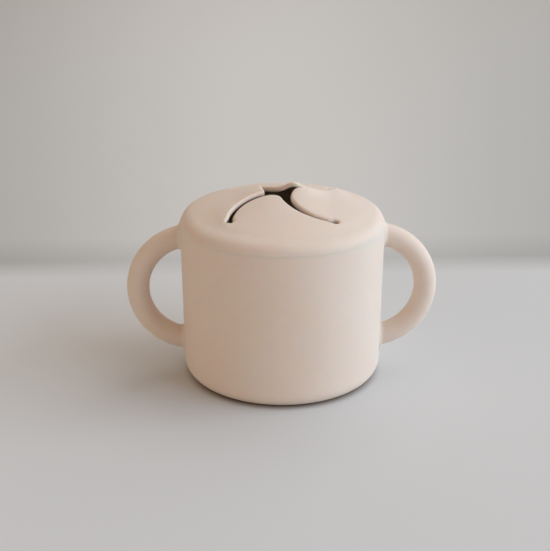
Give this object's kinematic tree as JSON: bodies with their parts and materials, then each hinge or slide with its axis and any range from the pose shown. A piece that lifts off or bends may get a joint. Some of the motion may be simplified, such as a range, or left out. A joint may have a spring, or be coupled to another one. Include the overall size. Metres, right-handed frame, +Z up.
{
  "type": "toddler snack cup",
  "caption": "Soft round snack cup with two ring handles and a lift-off domed lid whose swirling push-in flaps let a small hand reach in.",
  "frame": {"origin": "on the table, at the centre of the cup's base", "axes": "+X through the right handle, +Y away from the front as pictured, +Z up along the cup's axis"},
  "size_m": [0.1356, 0.0878, 0.0835],
  "materials": {
    "cup_silicone": "soft matte moulded silicone, warm cream",
    "lid_silicone": "soft matte moulded silicone, warm cream"
  },
  "bodies": {
    "cup": {"cup_body": "cup_silicone", "handle_left": "cup_silicone", "handle_right": "cup_silicone"},
    "lid": {"lid_cap": "lid_silicone"},
    "front_flap": {"flap_front": "lid_silicone"},
    "right_flap": {"flap_right": "lid_silicone"},
    "back_flap": {"flap_back": "lid_silicone"},
    "left_flap": {"flap_left": "lid_silicone"}
  },
  "joints": [
    {"name": "lid_lift", "type": "slide", "parent": "cup", "child": "lid", "axis": [0, 0, 1], "range_m": [0, 0.04]},
    {"name": "front_flap_push", "type": "hinge", "parent": "lid", "child": "front_flap", "pos_m": [-0.00094, -0.02148, 0.07656], "axis": [-0.999, 0.0436, 0], "range_deg": [-40, 62], "stiffness_Nm_per_rad": 0.03},
    {"name": "right_flap_push", "type": "hinge", "parent": "lid", "child": "right_flap", "pos_m": [0.02148, -0.00094, 0.07656], "axis": [-0.0436, -0.999, 0], "range_deg": [-40, 62], "stiffness_Nm_per_rad": 0.03},
    {"name": "back_flap_push", "type": "hinge", "parent": "lid", "child": "back_flap", "pos_m": [0.00094, 0.02148, 0.07656], "axis": [0.999, -0.0436, 0], "range_deg": [-40, 62], "stiffness_Nm_per_rad": 0.03},
    {"name": "left_flap_push", "type": "hinge", "parent": "lid", "child": "left_flap", "pos_m": [-0.02148, 0.00094, 0.07656], "axis": [0.0436, 0.999, 0], "range_deg": [-40, 62], "stiffness_Nm_per_rad": 0.03}
  ]
}
